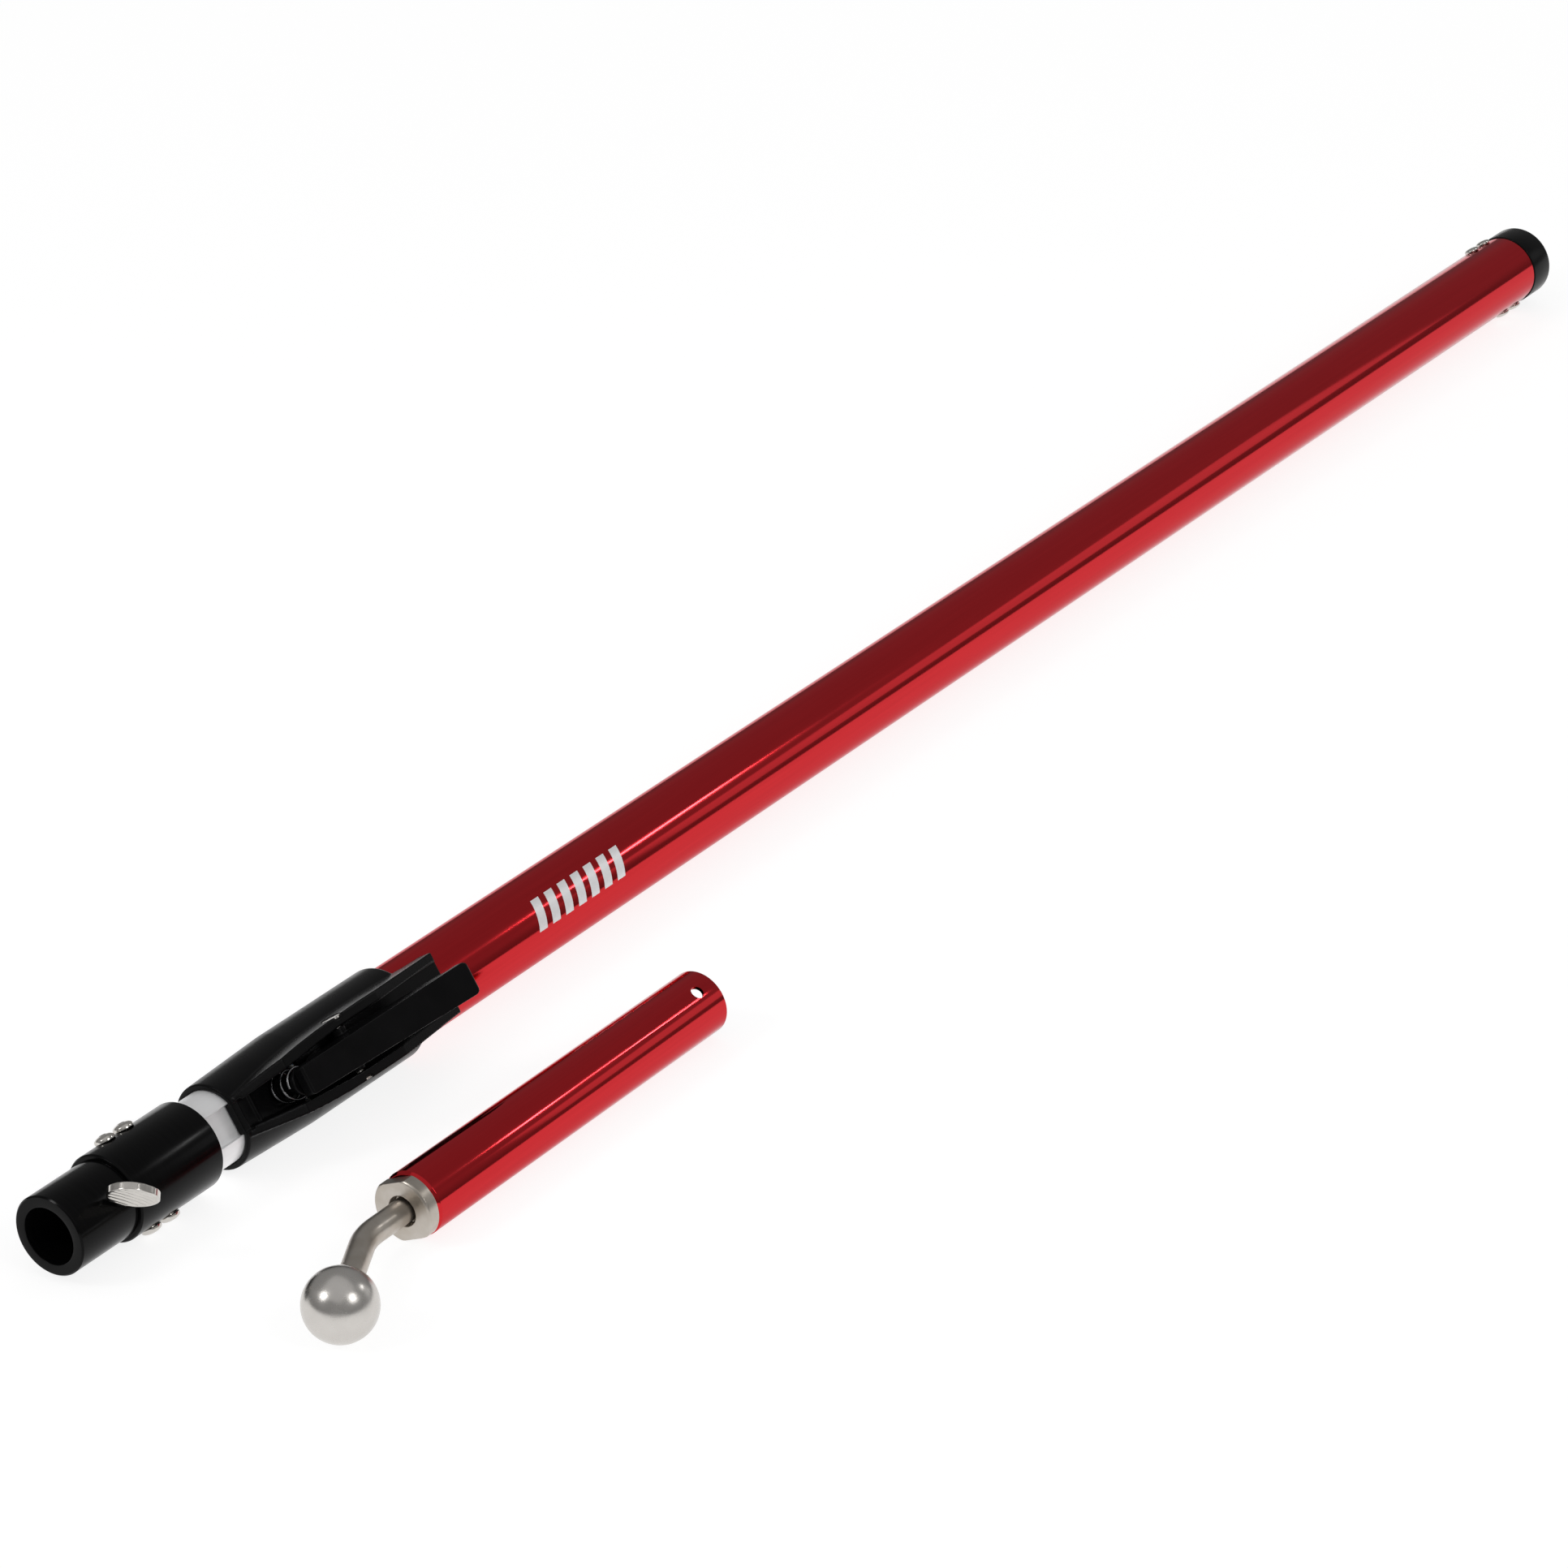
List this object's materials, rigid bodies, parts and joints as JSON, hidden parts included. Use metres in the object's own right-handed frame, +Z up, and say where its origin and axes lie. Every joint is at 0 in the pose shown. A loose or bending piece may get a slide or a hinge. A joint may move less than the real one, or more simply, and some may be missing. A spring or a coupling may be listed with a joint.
{
  "type": "extendable tool pole",
  "caption": "Extendable tool pole for drywall finishing tools: red outer tube, brake-lever collar, silver inner tube, tool head with a thumb screw, and a loose ball-end adapter",
  "frame": {"origin": "middle of the footprint, on the surface that the pole and the adapter lie on", "axes": "+X along the pole from tool head to end cap, +Z up from the surface, +Y from the adapter towards the pole"},
  "size_m": [1.049, 0.1362, 0.0467],
  "materials": {
    "red_anodised": "anodised gloss",
    "black_plastic": "moulded satin",
    "black_anodised": "anodised satin",
    "clear_anodised": "clear anodised satin",
    "nickel": "bright plated",
    "steel": "turned and polished",
    "polished_steel": "polished",
    "spring_steel": "blued wire",
    "nylon": "moulded",
    "rubber": "moulded"
  },
  "bodies": {
    "outer_pole": {"outer_tube": "red_anodised", "end_cap": "black_plastic", "cap_rivet_1": "nickel", "cap_rivet_2": "nickel", "cap_rivet_3": "nickel", "cap_rivet_4": "nickel", "lock_collar": "black_plastic", "front_bush": "nylon", "lever_pin": "nickel", "pin_clip": "steel", "lever_spring": "spring_steel", "plunger_spring": "spring_steel"},
    "inner_pole": {"inner_tube": "clear_anodised", "rear_guide_plug": "nylon", "tool_head": "black_anodised", "head_screw_1": "nickel", "head_screw_2": "nickel", "head_screw_3": "nickel", "head_screw_4": "nickel"},
    "thumb_screw_body": {"thumb_screw": "nickel"},
    "brake_lever_body": {"brake_lever": "black_plastic"},
    "brake_plunger_body": {"brake_plunger": "black_plastic", "brake_pad": "rubber"},
    "ball_adapter": {"adapter_tube": "red_anodised", "adapter_plug": "steel", "ball_rod": "steel", "ball": "polished_steel", "rod_washer": "steel", "rod_nut": "steel"}
  },
  "joints": [
    {"name": "pole_slide", "type": "slide", "parent": "outer_pole", "child": "inner_pole", "axis": [-1, 0, 0], "range_m": [0, 0.56]},
    {"name": "thumb_screw_turn", "type": "hinge", "parent": "inner_pole", "child": "thumb_screw_body", "pos_m": [-0.5045, 0.03315, 0.02929], "axis": [0, -0.8339, 0.5519], "continuous": true},
    {"name": "lever_pivot", "type": "hinge", "parent": "outer_pole", "child": "brake_lever_body", "pos_m": [-0.3821, 0.0319, 0.03012], "axis": [0, 0.5519, 0.8339], "range_deg": [0, 12], "stiffness_Nm_per_rad": 2, "springref_deg": -20.05, "deforming": ["lever_spring"]},
    {"name": "plunger_travel", "type": "slide", "parent": "outer_pole", "child": "brake_plunger_body", "axis": [0, -0.8339, 0.5519], "range_m": [0, 0.0053], "deforming": ["plunger_spring"]},
    {"name": "adapter_lift", "type": "slide", "parent": "outer_pole", "child": "ball_adapter", "axis": [0, 0, 1], "range_m": [0, 0.12]}
  ],
  "couplings": [
    {"joint": "plunger_travel", "follows": "lever_pivot", "m_per_rad": 0.025}
  ]
}
